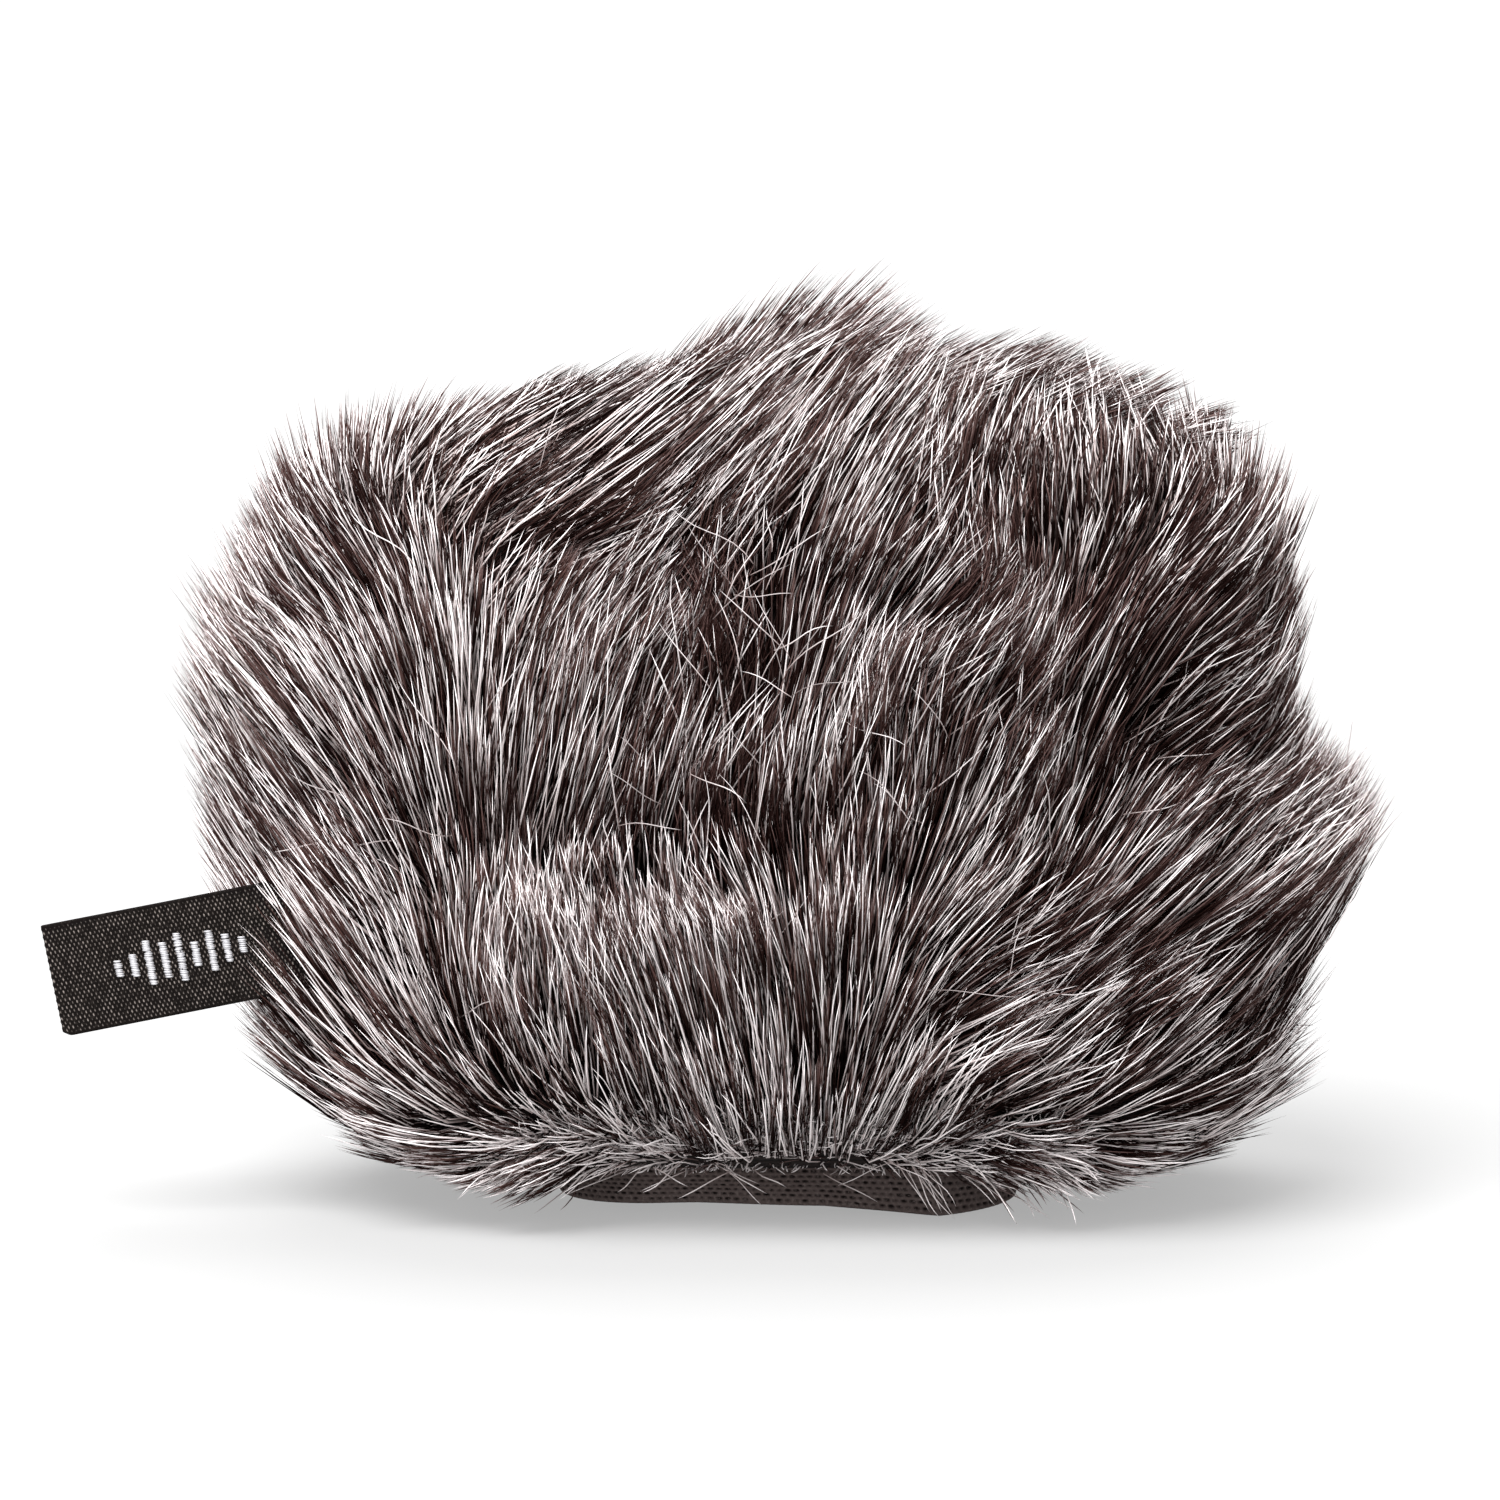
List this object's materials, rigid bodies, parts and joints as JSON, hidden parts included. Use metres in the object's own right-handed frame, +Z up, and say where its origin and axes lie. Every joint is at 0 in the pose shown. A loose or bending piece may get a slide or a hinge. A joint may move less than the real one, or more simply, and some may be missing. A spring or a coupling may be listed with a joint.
{
  "type": "furry windscreen",
  "caption": "Foam-lined faux-fur windscreen that slips over a handheld recorder's microphones, with an elastic mouth underneath and a woven side label.",
  "frame": {"origin": "centre of the mouth, on the plane of the elastic band's lower rim, which the cover stands on", "axes": "+X to the right along the cover's width, +Y to the back, +Z up, away from the mouth; the label is on the -X side"},
  "size_m": [0.1484, 0.092, 0.1],
  "materials": {
    "fur": "long pile, dark underfur with pale guard hairs",
    "fur_backing": "knitted backing cloth",
    "foam": "open-cell acoustic foam",
    "lining_mesh": "fine warp-knit mesh",
    "elastic": "knitted elastic, horizontal rows",
    "binding": "plain woven tape",
    "thread": "twisted polyester thread",
    "label": "twill-woven tape",
    "label_motif": "raised woven yarn"
  },
  "bodies": {
    "shell": {"front_lining": "lining_mesh", "gusset_lining": "lining_mesh", "back_lining": "lining_mesh", "front_foam": "foam", "gusset_foam": "foam", "back_foam": "foam", "front_fur_backing": "fur_backing", "gusset_fur_backing": "fur_backing", "back_fur_backing": "fur_backing", "front_fur_pile": "fur", "gusset_fur_pile": "fur", "back_fur_pile": "fur", "elastic_band": "elastic", "mouth_binding": "binding", "mouth_stitches": "thread", "band_join_stitches": "thread", "front_seam_stitches": "thread", "back_seam_stitches": "thread", "label_seam_tab": "label", "label_tack_stitches": "thread"},
    "label": {"woven_label": "label", "label_motif": "label_motif"}
  },
  "joints": [
    {"name": "label_flex", "type": "hinge", "parent": "shell", "child": "label", "pos_m": [-0.04582, -0.018, 0.03363], "axis": [-0.1959, 0, 0.9806], "range_deg": [-25, 25], "stiffness_Nm_per_rad": 0.0003}
  ]
}
